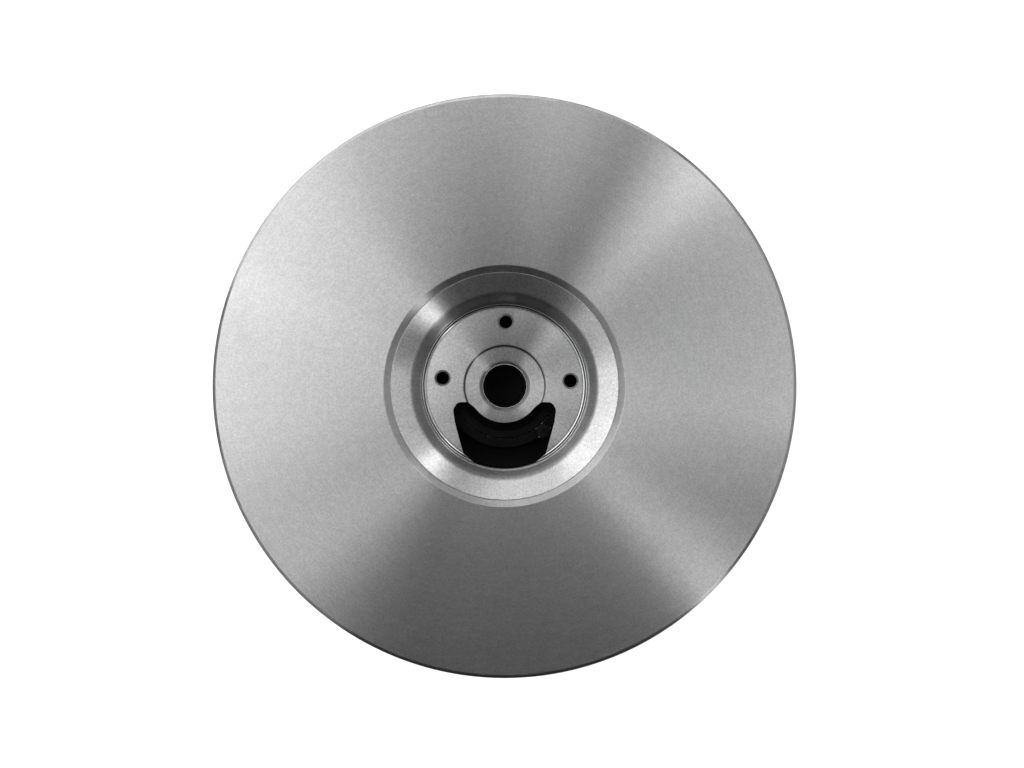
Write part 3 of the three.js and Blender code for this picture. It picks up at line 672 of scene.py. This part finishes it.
def ring_tree():
    """Geometry nodes that set copies of a piece round the Z axis, each turned with its place."""
    tree = bpy.data.node_groups.new("set_round_the_axle", "GeometryNodeTree")
    tree.interface.new_socket("Piece", in_out="INPUT", socket_type="NodeSocketGeometry")
    tree.interface.new_socket("Number", in_out="INPUT", socket_type="NodeSocketInt")
    tree.interface.new_socket("Circle", in_out="INPUT", socket_type="NodeSocketFloat")
    tree.interface.new_socket("First Angle", in_out="INPUT", socket_type="NodeSocketFloat")
    tree.interface.new_socket("Finish", in_out="INPUT", socket_type="NodeSocketMaterial")
    tree.interface.new_socket("Set", in_out="OUTPUT", socket_type="NodeSocketGeometry")
    nodes, links = tree.nodes, tree.links
    given = nodes.new("NodeGroupInput").outputs
    index = nodes.new("GeometryNodeInputIndex").outputs[0]
    share = node_math(tree, "DIVIDE", index, given["Number"])
    angle = node_math(tree, "ADD", node_math(tree, "MULTIPLY", share, math.tau), given["First Angle"])
    x = node_math(tree, "MULTIPLY", node_math(tree, "COSINE", angle), given["Circle"])
    y = node_math(tree, "MULTIPLY", node_math(tree, "SINE", angle), given["Circle"])
    points = nodes.new("GeometryNodePoints")
    links.new(given["Number"], points.inputs["Count"])
    links.new(combined(tree, x, y, 0.0), points.inputs["Position"])
    copies = nodes.new("GeometryNodeInstanceOnPoints")
    links.new(points.outputs[0], copies.inputs["Points"])
    links.new(given["Piece"], copies.inputs["Instance"])
    links.new(combined(tree, 0.0, 0.0, angle), copies.inputs["Rotation"])
    real = nodes.new("GeometryNodeRealizeInstances")
    links.new(copies.outputs[0], real.inputs[0])
    finish = nodes.new("GeometryNodeSetMaterial")
    links.new(real.outputs[0], finish.inputs["Geometry"])
    links.new(given["Finish"], finish.inputs["Material"])
    result = nodes.new("NodeGroupOutput")
    links.new(finish.outputs[0], result.inputs[0])
    return tree


ROUND_THE_AXLE = ring_tree()


def set_round(name, piece, number, circle, first_degrees, finish):
    """Copies of a piece round the axle, as one mesh. The piece itself is used up."""
    mesh = piece.data
    bpy.data.objects.remove(piece)
    settings = {
        "Number": number,
        "Circle": circle * MM,
        "First Angle": math.radians(first_degrees),
        "Finish": finish,
    }
    return baked(with_nodes(mesh, ROUND_THE_AXLE, settings), name)


def numbered(name, count):
    return [f"{name}_{i + 1}" for i in range(count)]


ZINC_PLATE = finished("zinc_plate", (0.56, 0.58, 0.60), 1.0, 0.30, 4e-6)

HEXAGON = 6


def screw(head, head_height, shank, length, across_flats, socket_depth, pitch, finish):
    """A screw standing on its head's seat at height 0, head up, its shank below and threaded."""
    section = [(0.0, -length), (shank - 0.5, -length, 0.1)]
    height = -length + 0.5
    while height < -2 * pitch:
        section.append((shank, height))
        section.append((shank - 0.35 * pitch, height + pitch / 2))
        height += pitch
    section += [
        (shank, height),
        (shank, 0.0),
        (head, 0.0, 0.15),
        (head, head_height, 0.45),
        (0.0, head_height),
    ]
    piece = turned("screw", section, finish, flats=48, steps=3)
    corner_radius = across_flats / 2 / math.cos(math.pi / HEXAGON)
    flats = [on_circle(corner_radius, 360 / HEXAGON * i) for i in range(HEXAGON)]
    return cut(piece, [prism(flats, head_height - socket_depth, head_height + 1.0)])


def upside_down(piece):
    piece.data.transform(Matrix.Rotation(math.pi, 4, "X"))
    return piece


DISC_SCREWS = 8
DISC_SCREW_CIRCLE = 50.0
disc_screw = upside_down(screw(4.6, 2.8, 2.9, 6.8, 3.6, 1.6, 1.0, ZINC_PLATE))
disc_screws = set_round(
    "disc_screws_fine", moved(disc_screw, 0, 0, FLANGE_BACK), DISC_SCREWS, DISC_SCREW_CIRCLE, 0, ZINC_PLATE
)
fit(disc_screws, "rotor", "zinc", *numbered("disc_screw", DISC_SCREWS))


# ---------------------------------------------------------------------------------------------
# The bearing housing: an aluminium casting painted satin black and screwed up against the skirt.
# It is a shallow cup, with a barrel bored for the bearing and three small bosses beside the bore.

BLACK_PAINT = finished(
    "satin_black_paint", (0.003, 0.003, 0.003), 0.0, 0.7, 2.5e-5,
    gloss=0.08, mottle=500.0, grain=1400.0,
)

BEARING_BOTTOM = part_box("bearing_outer_ring")[0][2] / MM
BEARING_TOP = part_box("bearing_outer_ring")[1][2] / MM
BARREL_RADIUS = 23.5
SEAT_RADIUS = 20.0
CHANNEL_FLOOR = BEARING_TOP - 6.4
HOUSING_FLANGE_BOTTOM = SKIRT_BOTTOM - 4.0
HOUSING_LIP_RADIUS = 17.2
HOUSING_LIP_BOTTOM = BEARING_BOTTOM - 1.5
RETAINING_BOSS_CIRCLE = 22.3
RETAINING_ANGLES = (311, 71, 191)
RETAINING_SCREW_CIRCLE = 22.6
BOSS_RADIUS = 3.0
RETAINING_HOLE = 1.5
HOUSING_HOLE = 2.1
HOLE_FLATS = 24
HOUSING_SCREWS = 6
HOUSING_SCREW_CIRCLE = 37.4
HOUSING_SCREW_FIRST = 30


def disc_block(radius, bottom, top, x, y, flats=48):
    """A plain round block, in mm, for a boss or a drilled hole."""
    angles = [math.tau * i / flats for i in range(flats)]
    outline = [(x + radius * math.cos(angle), y + radius * math.sin(angle)) for angle in angles]
    return prism(outline, bottom, top)


bearing_housing = turned("bearing_housing_fine", [
    (HOUSING_LIP_RADIUS, HOUSING_LIP_BOTTOM, 0.3),
    (BARREL_RADIUS, HOUSING_LIP_BOTTOM, 1.0),
    (BARREL_RADIUS + 0.5, CHANNEL_FLOOR - 3.5, 1.2),
    (33.0, CHANNEL_FLOOR - 3.5, 1.2),
    (34.0, HOUSING_FLANGE_BOTTOM, 1.2),
    (SKIRT_RADIUS, HOUSING_FLANGE_BOTTOM, 0.8),
    (SKIRT_RADIUS, SKIRT_BOTTOM, 0.1),
    (CARRIER_BORE, SKIRT_BOTTOM, 0.1),
    (CARRIER_BORE, CHANNEL_FLOOR, 1.2),
    (BARREL_RADIUS, CHANNEL_FLOOR, 1.2),
    (BARREL_RADIUS, BEARING_TOP, 0.4),
    (SEAT_RADIUS, BEARING_TOP, 0.1),
    (SEAT_RADIUS, BEARING_BOTTOM),
    (HOUSING_LIP_RADIUS, BEARING_BOTTOM, 0.1),
], BLACK_PAINT)
bosses = [
    disc_block(BOSS_RADIUS, CHANNEL_FLOOR - 0.5, BEARING_TOP - 0.01, *on_circle(RETAINING_BOSS_CIRCLE, angle))
    for angle in RETAINING_ANGLES
]
bearing_housing = cut(bearing_housing, bosses, "UNION")
seat = disc_block(SEAT_RADIUS, BEARING_BOTTOM, BEARING_TOP + 1.0, 0, 0, 192)
drilled = []
for angle in RETAINING_ANGLES:
    x, y = on_circle(RETAINING_SCREW_CIRCLE, angle)
    drilled.append(disc_block(RETAINING_HOLE, BEARING_TOP - 5.0, BEARING_TOP + 1.0, x, y, HOLE_FLATS))
for angle in range(HOUSING_SCREW_FIRST, 360, 360 // HOUSING_SCREWS):
    x, y = on_circle(HOUSING_SCREW_CIRCLE, angle)
    bottom = HOUSING_FLANGE_BOTTOM - 1.0
    drilled.append(disc_block(HOUSING_HOLE, bottom, SKIRT_BOTTOM + 1.0, x, y, HOLE_FLATS))
bearing_housing = cut(bearing_housing, [seat, *drilled])
fit(bearing_housing, "rotor", "black_paint", "bearing_housing")


# ---------------------------------------------------------------------------------------------
# The housing screws: six zinc-plated cap screws with hexagon sockets, screwed up through the
# housing's flange into the carrier's skirt.

housing_screw = upside_down(screw(3.3, 3.4, 1.9, 10.0, 3.0, 2.0, 0.7, ZINC_PLATE))
housing_screws = set_round(
    "housing_screws_fine", moved(housing_screw, 0, 0, HOUSING_FLANGE_BOTTOM),
    HOUSING_SCREWS, HOUSING_SCREW_CIRCLE, HOUSING_SCREW_FIRST, ZINC_PLATE,
)
fit(housing_screws, "rotor", "zinc", *numbered("housing_screw", HOUSING_SCREWS))


# ---------------------------------------------------------------------------------------------
# The bearing's outer ring: hardened steel, ground outside and in its ball groove, coloured near black
# all over as painted shade. It is pressed in the housing's seat and stepped at both ends for the rubber
# seals.

# Near black as painted shade: the ring's steel lies in shade deep under the window.
PAINTED_SHADE_RING = finished("painted_shade_ring_steel", (0.003, 0.003, 0.003), 0.0, 0.6, 2e-6, gloss=0.08)
BALL_RADIUS = 3.3
PITCH_RADIUS = 14.25
BEARING_MIDDLE = (BEARING_BOTTOM + BEARING_TOP) / 2
GROOVE_RADIUS = 3.5
RACE_GAP = 0.15
SHOULDER_OUTER = 16.3
SHOULDER_INNER = 12.2
SEAL_SEAT_RADIUS = 17.0
SEAL_SEAT_DEPTH = 1.2


def race_groove(side, shoulder, steps=16):
    """The ball groove from its lower edge up: side is +1 in the outer ring and -1 in the inner."""
    centre = PITCH_RADIUS + side * (BALL_RADIUS + RACE_GAP - GROOVE_RADIUS)
    half = math.acos(abs(shoulder - centre) / GROOVE_RADIUS)
    spread = [half * (2 * i / steps - 1) for i in range(steps + 1)]
    return [
        (centre + side * GROOVE_RADIUS * math.cos(angle), BEARING_MIDDLE + GROOVE_RADIUS * math.sin(angle))
        for angle in spread
    ]


bearing_outer_ring = turned("bearing_outer_ring_fine", [
    (SEAL_SEAT_RADIUS, BEARING_BOTTOM, 0.1),
    (SEAT_RADIUS - 0.05, BEARING_BOTTOM, 0.5),
    (SEAT_RADIUS - 0.05, BEARING_TOP, 0.5),
    (SEAL_SEAT_RADIUS, BEARING_TOP, 0.1),
    (SEAL_SEAT_RADIUS, BEARING_TOP - SEAL_SEAT_DEPTH),
    (SHOULDER_OUTER, BEARING_TOP - SEAL_SEAT_DEPTH),
    *reversed(race_groove(1, SHOULDER_OUTER)),
    (SHOULDER_OUTER, BEARING_BOTTOM + SEAL_SEAT_DEPTH),
    (SEAL_SEAT_RADIUS, BEARING_BOTTOM + SEAL_SEAT_DEPTH),
], PAINTED_SHADE_RING)
fit(bearing_outer_ring, "rotor", "bearing_steel", "bearing_outer_ring")


# ---------------------------------------------------------------------------------------------
# The retaining screws: three small screws in black oxide, screwed into the housing's bosses. The
# edges of their heads overlap the bearing's outer ring and keep it in its seat.

BLACK_OXIDE = finished("oiled_black_oxide", (0.006, 0.006, 0.006), 0.2, 0.5, 3e-6, gloss=0.1)
retaining_screw = screw(2.8, 1.7, 1.4, 4.6, 1.6, 0.9, 0.5, BLACK_OXIDE)
retaining_screws = set_round(
    "bearing_retaining_screws_fine", moved(retaining_screw, 0, 0, BEARING_TOP),
    len(RETAINING_ANGLES), RETAINING_SCREW_CIRCLE, RETAINING_ANGLES[0], BLACK_OXIDE,
)
fit(retaining_screws, "rotor", "black_oxide", *numbered("bearing_retaining_screw", len(RETAINING_ANGLES)))


# ---------------------------------------------------------------------------------------------
# The bearing seals: two flat rings of moulded black rubber, snapped into the steps of the outer
# ring. A shallow groove runs round each, and a thin lip comes close to the inner ring.

SEAL_RUBBER = finished("seal_rubber", (0.002, 0.002, 0.002), 0.0, 0.8, 8e-6, gloss=0.06, mottle=700.0)


def seal_section(outer_face, facing):
    """A seal from its outer face inwards: facing is +1 for the front seal and -1 for the rear."""
    def height(depth):
        return outer_face - facing * depth

    return [
        (12.5, height(0.35), 0.1),
        (13.0, height(0.15), 0.1),
        (13.6, height(0.35), 0.15),
        (15.2, height(0.35), 0.15),
        (15.8, height(0.0), 0.15),
        (16.9, height(0.0), 0.2),
        (16.9, height(0.9), 0.1),
        (12.5, height(0.9), 0.1),
    ]


bearing_seal_front = turned("bearing_seal_front_fine", seal_section(BEARING_TOP - 0.15, 1), SEAL_RUBBER)
fit(bearing_seal_front, "rotor", "seal_rubber", "bearing_seal_front")
bearing_seal_rear = turned("bearing_seal_rear_fine", seal_section(BEARING_BOTTOM + 0.15, -1), SEAL_RUBBER)
fit(bearing_seal_rear, "rotor", "seal_rubber", "bearing_seal_rear")


# ---------------------------------------------------------------------------------------------
# The dust seal: a moulded rubber ring in the housing's rear lip. Its own lip stands close round
# the axle collar and keeps water off the bearing.

dust_seal = turned("dust_seal_fine", [
    (12.4, 5.0, 0.15),
    (17.1, 5.0, 0.15),
    (17.1, 6.2, 0.15),
    (14.6, 6.2, 0.1),
    (13.6, 5.8, 0.1),
    (11.9, 6.0, 0.05),
], SEAL_RUBBER)
fit(dust_seal, "rotor", "seal_rubber", "dust_seal")


# ---------------------------------------------------------------------------------------------
# The ball set: eight ground steel balls in a moulded plastic cage with a round pocket for each.
# The set rolls round between the two rings at its own speed.

BLACK_PLASTIC = finished(
    "moulded_black_plastic", (0.004, 0.004, 0.004), 0.0, 0.6, 1e-5, gloss=0.15, grain=1800.0,
)
BALL_STEEL = finished("polished_ball_steel", (0.55, 0.56, 0.57), 1.0, 0.12, 2e-7, mottle=200.0)
BALLS = 8
CAGE_INNER = 13.1
CAGE_OUTER = 15.4
CAGE_HALF_WIDTH = 4.4
POCKET_RADIUS = 3.5

half_round = [on_circle(BALL_RADIUS, angle) for angle in range(-90, 91, 6)]
ball = turned("ball", [(x, BEARING_MIDDLE + y) for x, y in half_round], BALL_STEEL, flats=48)
balls = set_round("bearing_balls_fine", ball, BALLS, PITCH_RADIUS, 0, BALL_STEEL)
fit(balls, "ball_set", "bearing_steel", *numbered("bearing_ball", BALLS))

bearing_cage = turned("bearing_cage_fine", [
    (CAGE_INNER, BEARING_MIDDLE - CAGE_HALF_WIDTH, 0.2),
    (CAGE_OUTER, BEARING_MIDDLE - CAGE_HALF_WIDTH, 0.2),
    (CAGE_OUTER, BEARING_MIDDLE + CAGE_HALF_WIDTH, 0.2),
    (CAGE_INNER, BEARING_MIDDLE + CAGE_HALF_WIDTH, 0.2),
], BLACK_PLASTIC, flats=128)
pockets = []
for i in range(BALLS):
    pocket = disc_block(POCKET_RADIUS, CAGE_INNER - 2.0, CAGE_OUTER + 2.0, 0, 0)
    lay_down = Matrix.Rotation(math.tau * i / BALLS, 4, "Z") @ Matrix.Rotation(math.pi / 2, 4, "Y")
    pocket.data.transform(Matrix.Translation((0, 0, BEARING_MIDDLE * MM)) @ lay_down)
    pockets.append(pocket)
bearing_cage = cut(bearing_cage, pockets)
fit(bearing_cage, "ball_set", "black_plastic", "bearing_cage")


# ---------------------------------------------------------------------------------------------
# The axle side: the bearing's inner ring and, in front of it, the sleeve that reaches up into
# the plate's bore. Both are turned steel, clamped on the axle, and stand still while the disc turns.

RING_STEEL = turned_metal("ground_ring_steel", (0.50, 0.51, 0.52), 0.24, 0.6, 4e-7, rings=3000.0)
AXLE_RADIUS = 8.5
SLEEVE_RADIUS = 9.55
SLEEVE_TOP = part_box("front_axle_sleeve")[1][2] / MM

bearing_inner_ring = turned("bearing_inner_ring_fine", [
    (AXLE_RADIUS, BEARING_BOTTOM, 0.4),
    (SHOULDER_INNER, BEARING_BOTTOM, 0.3),
    *race_groove(-1, SHOULDER_INNER),
    (SHOULDER_INNER, BEARING_TOP, 0.3),
    (AXLE_RADIUS, BEARING_TOP, 0.4),
], RING_STEEL)
fit(bearing_inner_ring, "axle_side", "bearing_steel", "bearing_inner_ring")

# The sleeve's colour is darkened to near black on its bore wall, as painted shade.
SLEEVE_STEEL = turned_metal(
    "sleeve_steel", (0.60, 0.60, 0.60), 0.32, 0.9, 6e-7,
    painted_shade=((8.4, 0.3, 0.08),), rings=2500.0,
)
front_axle_sleeve = turned("front_axle_sleeve_fine", [
    (AXLE_RADIUS, BEARING_TOP, 0.2),
    (11.5, BEARING_TOP, 0.2),
    (11.5, BEARING_TOP + 1.5, 0.2),
    (SLEEVE_RADIUS, BEARING_TOP + 1.5, 0.3),
    (SLEEVE_RADIUS, SLEEVE_TOP, 0.03),
    (SLEEVE_RADIUS - 0.1, SLEEVE_TOP, 0.05),
    (AXLE_RADIUS, SLEEVE_TOP - 1.0, 0.1),
], SLEEVE_STEEL)
fit(front_axle_sleeve, "axle_side", "zinc", "front_axle_sleeve")


# ---------------------------------------------------------------------------------------------
# The rear collar: turned steel, zinc plated. Its flange is the face that the whole part stands on
# against the wheel spacer, and its spigot bears on the bearing's inner ring.

COLLAR_STEEL = turned_metal("plated_collar_steel", (0.55, 0.57, 0.59), 0.30, 0.75, 8e-7, rings=1800.0)
COLLAR_FLANGE = 2.4
SPIGOT_RADIUS = 11.5
COLLAR_RADIUS = 16.0
COLLAR_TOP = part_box("rear_axle_collar")[1][2] / MM
COVER_RIVETS = 3
COVER_RIVET_FIRST = 60
COVER_RIVET_CIRCLE = 13.7
COVER_RIVET_HOLE = 1.1

rear_axle_collar = turned("rear_axle_collar_fine", [
    (AXLE_RADIUS, 0.0, 0.3),
    (COLLAR_RADIUS, 0.0, 0.5),
    (COLLAR_RADIUS, COLLAR_FLANGE, 0.1),
    (SPIGOT_RADIUS, COLLAR_FLANGE),
    (SPIGOT_RADIUS, COLLAR_TOP, 0.2),
    (AXLE_RADIUS, COLLAR_TOP, 0.3),
], COLLAR_STEEL)


def rivet_holes(bottom, top):
    """Cutters for the rivets' holes, in mm, from one height to another."""
    holes = []
    for i in range(COVER_RIVETS):
        x, y = on_circle(COVER_RIVET_CIRCLE, COVER_RIVET_FIRST + 360 / COVER_RIVETS * i)
        holes.append(disc_block(COVER_RIVET_HOLE, bottom, top, x, y, HOLE_FLATS))
    return holes


rear_axle_collar = cut(rear_axle_collar, rivet_holes(-1.0, COLLAR_FLANGE + 1.0))
fit(rear_axle_collar, "axle_side", "zinc", "rear_axle_collar")


# ---------------------------------------------------------------------------------------------
# The dust plug: a soft black plastic cup pushed into the back of the bore, with a hollow moulded
# in its front. It comes out when the axle goes in.

PLUG_RADIUS = AXLE_RADIUS - 0.1
PLUG_BACK = 0.4
PLUG_FLOOR = 2.0
PLUG_FRONT = 5.4

bore_dust_plug = turned("bore_dust_plug_fine", [
    (0.0, PLUG_BACK),
    (PLUG_RADIUS, PLUG_BACK, 0.6),
    (PLUG_RADIUS, PLUG_FRONT, 0.3),
    (PLUG_RADIUS - 1.2, PLUG_FRONT, 0.3),
    (PLUG_RADIUS - 1.3, PLUG_FLOOR, 0.5),
    (0.0, PLUG_FLOOR),
], BLACK_PLASTIC)
fit(bore_dust_plug, "axle_side", "black_plastic", "bore_dust_plug")


# ---------------------------------------------------------------------------------------------
# The rear dust cover: a pressed steel dish, painted black, riveted to the collar's flange. Its
# rim stands round the housing's barrel. The rivets are plain steel with round heads.

COVER_RADIUS = 26.6
COVER_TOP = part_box("rear_dust_cover")[1][2] / MM
COVER_FLOOR = COLLAR_FLANGE + 1.2

rear_dust_cover = turned("rear_dust_cover_fine", [
    (SPIGOT_RADIUS + 0.1, COLLAR_FLANGE, 0.1),
    (COVER_RADIUS, COLLAR_FLANGE, 1.6),
    (COVER_RADIUS, COVER_TOP, 0.3),
    (COVER_RADIUS - 1.0, COVER_TOP, 0.3),
    (COVER_RADIUS - 1.0, COVER_FLOOR, 0.8),
    (SPIGOT_RADIUS + 0.1, COVER_FLOOR, 0.1),
], BLACK_PAINT)
rear_dust_cover = cut(rear_dust_cover, rivet_holes(1.0, COVER_FLOOR + 1.0))
fit(rear_dust_cover, "axle_side", "black_paint", "rear_dust_cover")

rivet = turned("rivet", [
    (0.0, 0.3),
    (1.0, 0.3, 0.1),
    (1.0, COVER_FLOOR),
    (1.8, COVER_FLOOR, 0.1),
    (1.55, COVER_FLOOR + 0.55, 0.3),
    (0.9, COVER_FLOOR + 0.8, 0.3),
    (0.0, COVER_FLOOR + 0.8),
], ZINC_PLATE, flats=32)
rivets = set_round(
    "dust_cover_rivets_fine", rivet, COVER_RIVETS, COVER_RIVET_CIRCLE, COVER_RIVET_FIRST, ZINC_PLATE,
)
fit(rivets, "axle_side", "zinc", *numbered("dust_cover_rivet", COVER_RIVETS))


# ---------------------------------------------------------------------------------------------
# The studio: a plain white table, soft lamps all round, and a camera on the axle line that looks
# straight down on the front face. The table doesn't show in the metal.

FACE_HEIGHT = FACE * MM
FLOOR_SIZE = 6.0
FLOOR_GAP = 0.0002

floor_mesh = bpy.data.meshes.new("floor")
half = FLOOR_SIZE / 2
floor_corners = [(-half, -half, 0), (half, -half, 0), (half, half, 0), (-half, half, 0)]
floor_mesh.from_pydata(floor_corners, [], [(0, 1, 2, 3)])
floor = bpy.data.objects.new("floor", floor_mesh)
floor.location.z = cad_box[0][2] - FLOOR_GAP
floor.visible_glossy = False
bpy.context.collection.objects.link(floor)
table_white = bpy.data.materials.new("table_white")
table_white.use_nodes = True
table_shader = table_white.node_tree.nodes["Principled BSDF"]
table_shader.inputs["Base Color"].default_value = (0.85, 0.85, 0.85, 1.0)
table_shader.inputs["Roughness"].default_value = 0.8
table_shader.inputs["Emission Color"].default_value = (1.0, 1.0, 1.0, 1.0)
table_shader.inputs["Emission Strength"].default_value = 0.95
floor_mesh.materials.append(table_white)

world = bpy.data.worlds.new("studio")
bpy.context.scene.world = world
world.use_nodes = True
world.node_tree.nodes["Background"].inputs["Color"].default_value = (1.0, 1.0, 1.0, 1.0)
world.node_tree.nodes["Background"].inputs["Strength"].default_value = 0.015


def lamp(name, azimuth, zenith, distance, width, height, watts):
    """A soft lamp that faces the disc, from this direction round it and angle from straight up."""
    data = bpy.data.lights.new(name, "AREA")
    data.shape = "RECTANGLE"
    data.size = width
    data.size_y = height
    data.energy = watts
    made = bpy.data.objects.new(name, data)
    turn, tilt = math.radians(azimuth), math.radians(zenith)
    away = Vector((math.cos(turn) * math.sin(tilt), math.sin(turn) * math.sin(tilt), math.cos(tilt)))
    made.location = Vector((0.0, 0.0, FACE_HEIGHT)) + away * distance
    made.rotation_euler = away.to_track_quat("Z", "Y").to_euler()
    made.visible_camera = False
    bpy.context.collection.objects.link(made)


# Name, azimuth, angle from the vertical, distance, width, height and power.
LAMPS = (
    ("right_low_panel", 10, 85, 1.2, 2.0, 0.17, 1.8),
    ("right_high_strip", 15, 35, 0.45, 0.24, 0.06, 0.175),
    ("right_back_upright", 45, 42, 1.2, 0.1, 0.5, 0.42),
    ("right_back_spot", 50, 35, 0.45, 0.06, 0.22, 0.075),
    ("back_panel", 75, 45, 0.45, 0.43, 0.22, 0.14),
    ("back_spot", 75, 25, 0.45, 0.06, 0.06, 0.025),
    ("back_left_panel", 115, 45, 0.45, 0.43, 0.39, 0.41),
    ("back_left_low_strip", 120, 85, 0.45, 0.75, 0.06, 0.65),
    ("back_left_high_strip", 135, 25, 0.45, 0.19, 0.06, 0.065),
    ("back_low_spot", 68, 85, 0.45, 0.2, 0.06, 0.11),
    ("left_panel", 160, 45, 0.45, 0.43, 0.22, 0.37),
    ("left_high_strip", 180, 25, 0.45, 0.19, 0.06, 0.045),
    ("left_top_strip", 185, 15, 0.45, 0.20, 0.06, 0.06),
    ("left_middle_strip", 190, 35, 0.45, 0.36, 0.06, 0.19),
    ("left_front_low_strip", 215, 85, 0.45, 0.36, 0.06, 0.07),
    ("left_front_spot", 226, 20, 0.45, 0.06, 0.06, 0.010),
    ("front_right_upright", 315, 65, 0.45, 0.06, 0.39, 0.135),
    ("front_right_far_spot", 320, 35, 1.2, 0.17, 0.17, 0.39),
    ("front_right_top_spot", 345, 25, 1.2, 0.17, 0.17, 0.2),
)
for settings in LAMPS:
    lamp(*settings)

CAMERA_ASIDE = (2.81 * MM, 0.78 * MM)
CAMERA_DISTANCE = 1.4986

camera_data = bpy.data.cameras.new("camera")
camera_data.lens = 140.0
camera_data.sensor_width = 36.0
camera_data.clip_end = 20.0
camera = bpy.data.objects.new("camera", camera_data)
camera.location = (*CAMERA_ASIDE, FACE_HEIGHT + CAMERA_DISTANCE)
bpy.context.collection.objects.link(camera)
bpy.context.scene.camera = camera
bpy.context.scene.view_settings.view_transform = "Standard"
